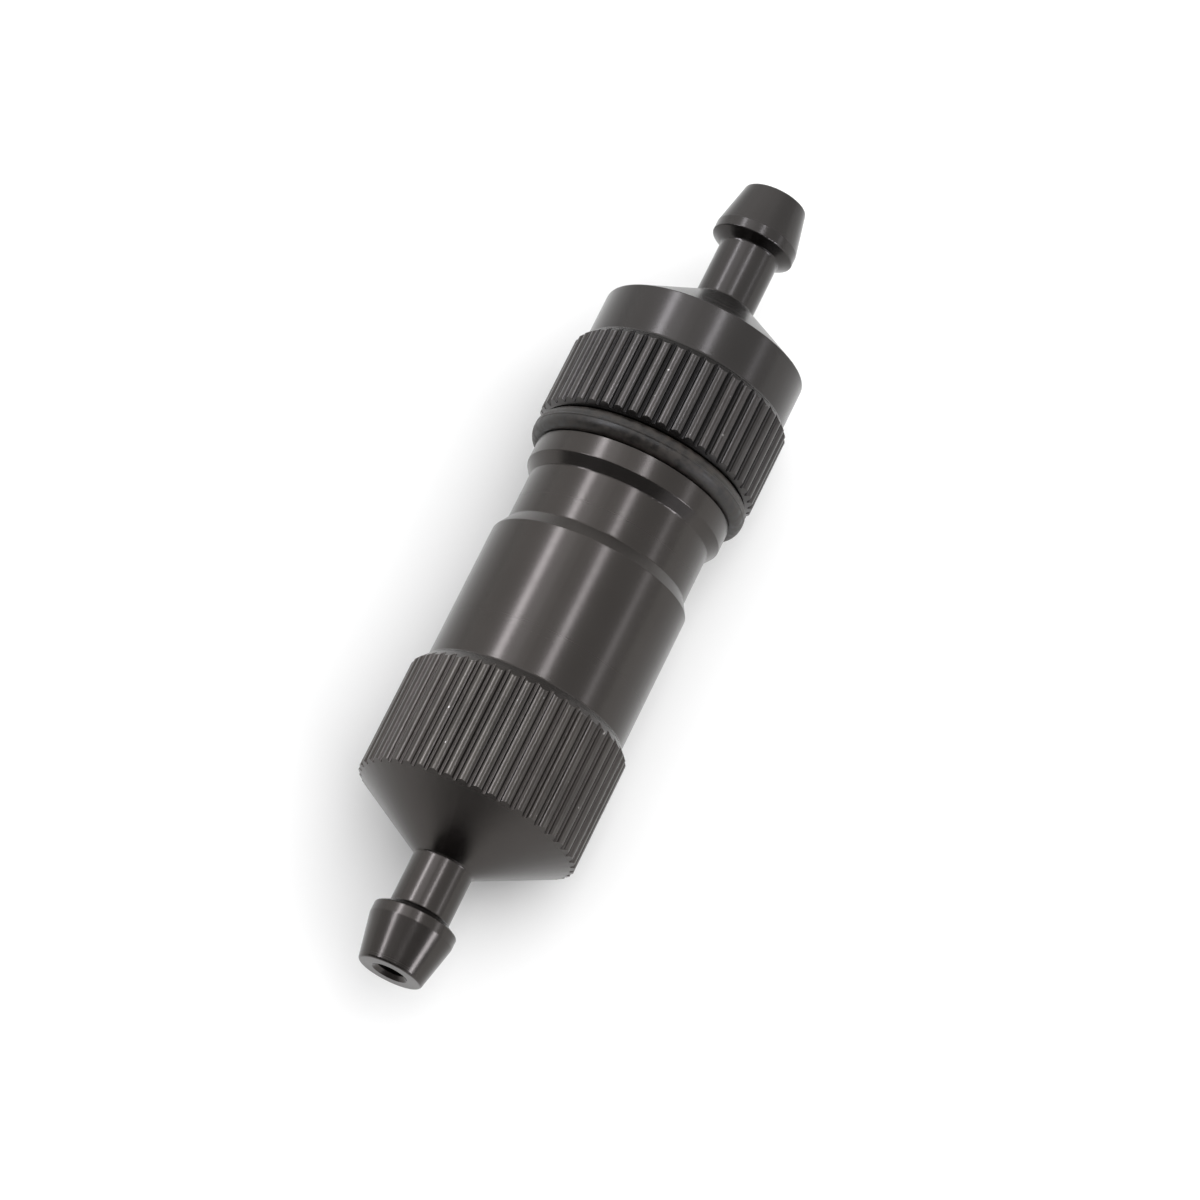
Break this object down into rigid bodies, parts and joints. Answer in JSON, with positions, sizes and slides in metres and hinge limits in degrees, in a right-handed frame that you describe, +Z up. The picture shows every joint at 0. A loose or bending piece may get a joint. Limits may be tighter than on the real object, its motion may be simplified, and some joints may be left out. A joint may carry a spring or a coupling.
{
  "type": "in-line filter",
  "caption": "Turned in-line filter for small hose: knurled body and screwed cap with a hose tail at each end, an O-ring between them, and a spring-loaded screen cartridge inside.",
  "frame": {"origin": "on the filter's axis, halfway between the end faces of the two hose tails", "axes": "+X along the axis towards the inlet tail and the screwed cap, +Z up with the filter lying on its side, +Y completes the right-handed frame"},
  "size_m": [0.0618, 0.016, 0.016],
  "materials": {
    "dark_anodised_aluminium": "satin, dark anodised, turned and knurled",
    "black_rubber": "matte moulded rubber",
    "stainless_tube": "drawn stainless steel",
    "woven_steel_mesh": "fine woven stainless wire",
    "white_acetal": "machined natural acetal",
    "spring_steel": "drawn spring wire and stamped ring"
  },
  "bodies": {
    "filter_body": {"filter_body": "dark_anodised_aluminium", "face_o_ring": "black_rubber"},
    "spring_seat": {"spring_seat": "white_acetal", "compression_spring": "spring_steel"},
    "screw_cap": {"screw_cap": "dark_anodised_aluminium", "seat_retaining_ring": "spring_steel"},
    "cartridge": {"screen_core": "stainless_tube", "screen_mesh": "woven_steel_mesh", "outlet_mesh_band": "stainless_tube", "inlet_mesh_band": "stainless_tube", "outlet_end_fitting": "white_acetal", "cartridge_o_ring": "black_rubber", "inlet_end_plug": "white_acetal"}
  },
  "joints": [
    {"name": "cap_rise", "type": "slide", "parent": "filter_body", "child": "spring_seat", "axis": [1, 0, 0], "range_m": [0, 0.005], "deforming": ["compression_spring"]},
    {"name": "cap_turn", "type": "hinge", "parent": "spring_seat", "child": "screw_cap", "pos_m": [0.012, 0, 0], "axis": [1, 0, 0], "range_deg": [0, 1800]},
    {"name": "cartridge_lift", "type": "slide", "parent": "filter_body", "child": "cartridge", "axis": [1, 0, 0], "range_m": [0, 0.007], "stiffness_N_per_m": 300, "springref_m": -0.006, "deforming": ["compression_spring"]}
  ],
  "couplings": [
    {"joint": "cap_rise", "follows": "cap_turn", "m_per_rad": 0.00015915}
  ]
}
